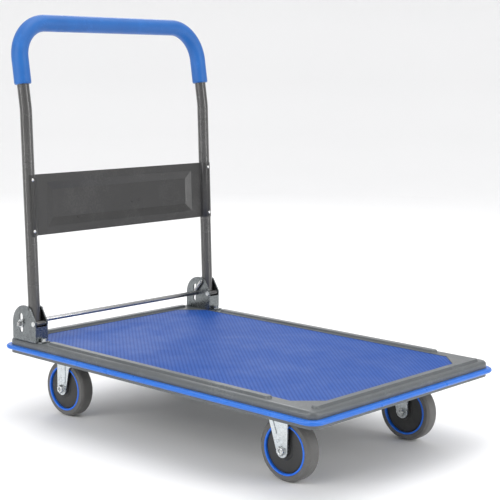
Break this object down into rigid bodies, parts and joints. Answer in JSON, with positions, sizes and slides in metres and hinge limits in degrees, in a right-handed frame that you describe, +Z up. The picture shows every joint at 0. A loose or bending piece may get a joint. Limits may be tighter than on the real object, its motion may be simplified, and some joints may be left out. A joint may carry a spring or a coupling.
{
  "type": "folding platform cart",
  "caption": "Flat steel platform cart with a ribbed-edge mat deck, fold-down tubular handle, foot-released lock bar, and fixed front and swivelling rear casters.",
  "frame": {"origin": "middle of the deck, on the floor under the wheels", "axes": "+X towards the open end of the deck, away from the handle; +Y to the left when facing +X; +Z up"},
  "size_m": [0.908, 0.6, 0.8875],
  "materials": {
    "deck_paint": "satin",
    "mat_vinyl": "matte",
    "bumper_plastic": "gloss",
    "frame_paint": "satin",
    "bracket_zinc": "satin",
    "fastener_zinc": "satin",
    "rod_chrome": "polished",
    "spring_steel": "satin",
    "tube_paint": "satin",
    "grip_vinyl": "matte",
    "panel_paint": "satin",
    "rivet_steel": "satin",
    "caster_zinc": "satin",
    "tyre_rubber": "matte",
    "ring_plastic": "gloss",
    "core_plastic": "matte",
    "bearing_steel": "satin"
  },
  "bodies": {
    "deck": {"deck_pan": "deck_paint", "deck_mat": "mat_vinyl", "bumper_strip": "bumper_plastic", "front_cross_member": "frame_paint", "rear_cross_member": "frame_paint", "keel_member": "frame_paint", "left_hinge_bracket": "bracket_zinc", "right_hinge_bracket": "bracket_zinc", "bracket_bolts": "fastener_zinc", "pivot_pins": "fastener_zinc", "left_lock_spring": "spring_steel", "right_lock_spring": "spring_steel", "caster_bolts": "fastener_zinc", "front_left_fork": "caster_zinc", "front_right_fork": "caster_zinc", "rear_left_top_plate": "caster_zinc", "rear_right_top_plate": "caster_zinc", "rear_left_kingpin": "caster_zinc", "rear_right_kingpin": "caster_zinc", "front_left_axle": "fastener_zinc", "front_right_axle": "fastener_zinc", "front_left_nut": "fastener_zinc", "front_right_nut": "fastener_zinc"},
    "handle": {"handle_tube": "tube_paint", "handle_grip": "grip_vinyl", "back_panel": "panel_paint", "panel_rivets": "rivet_steel", "pivot_sleeves": "tube_paint"},
    "lock_bar": {"lock_rod": "rod_chrome", "rod_washers": "fastener_zinc", "split_pins": "fastener_zinc"},
    "rear_left_swivel": {"rear_left_fork": "caster_zinc", "rear_left_race": "caster_zinc", "rear_left_axle": "fastener_zinc", "rear_left_nut": "fastener_zinc"},
    "rear_right_swivel": {"rear_right_fork": "caster_zinc", "rear_right_race": "caster_zinc", "rear_right_axle": "fastener_zinc", "rear_right_nut": "fastener_zinc"},
    "front_left_wheel": {"front_left_tyre": "tyre_rubber", "front_left_ring": "ring_plastic", "front_left_core": "core_plastic", "front_left_bearing": "bearing_steel"},
    "front_right_wheel": {"front_right_tyre": "tyre_rubber", "front_right_ring": "ring_plastic", "front_right_core": "core_plastic", "front_right_bearing": "bearing_steel"},
    "rear_left_wheel": {"rear_left_tyre": "tyre_rubber", "rear_left_ring": "ring_plastic", "rear_left_core": "core_plastic", "rear_left_bearing": "bearing_steel"},
    "rear_right_wheel": {"rear_right_tyre": "tyre_rubber", "rear_right_ring": "ring_plastic", "rear_right_core": "core_plastic", "rear_right_bearing": "bearing_steel"}
  },
  "joints": [
    {"name": "handle_fold", "type": "hinge", "parent": "deck", "child": "handle", "pos_m": [-0.35242, 0, 0.219], "axis": [0, 1, 0], "range_deg": [0, 92]},
    {"name": "lock_release", "type": "slide", "parent": "deck", "child": "lock_bar", "axis": [0, 0, -1], "range_m": [0, 0.014], "stiffness_N_per_m": 500, "springref_m": -0.02, "deforming": ["left_lock_spring", "right_lock_spring"]},
    {"name": "rear_left_swivel_turn", "type": "hinge", "parent": "deck", "child": "rear_left_swivel", "pos_m": [-0.312, 0.193, 0.145], "axis": [0, 0, 1], "continuous": true},
    {"name": "rear_right_swivel_turn", "type": "hinge", "parent": "deck", "child": "rear_right_swivel", "pos_m": [-0.312, -0.193, 0.145], "axis": [0, 0, 1], "continuous": true},
    {"name": "front_left_spin", "type": "hinge", "parent": "deck", "child": "front_left_wheel", "pos_m": [0.306, 0.193, 0.0635], "axis": [0, 1, 0], "continuous": true},
    {"name": "front_right_spin", "type": "hinge", "parent": "deck", "child": "front_right_wheel", "pos_m": [0.306, -0.193, 0.0635], "axis": [0, 1, 0], "continuous": true},
    {"name": "rear_left_spin", "type": "hinge", "parent": "rear_left_swivel", "child": "rear_left_wheel", "pos_m": [-0.346, 0.193, 0.0635], "axis": [0, 1, 0], "continuous": true},
    {"name": "rear_right_spin", "type": "hinge", "parent": "rear_right_swivel", "child": "rear_right_wheel", "pos_m": [-0.346, -0.193, 0.0635], "axis": [0, 1, 0], "continuous": true}
  ]
}
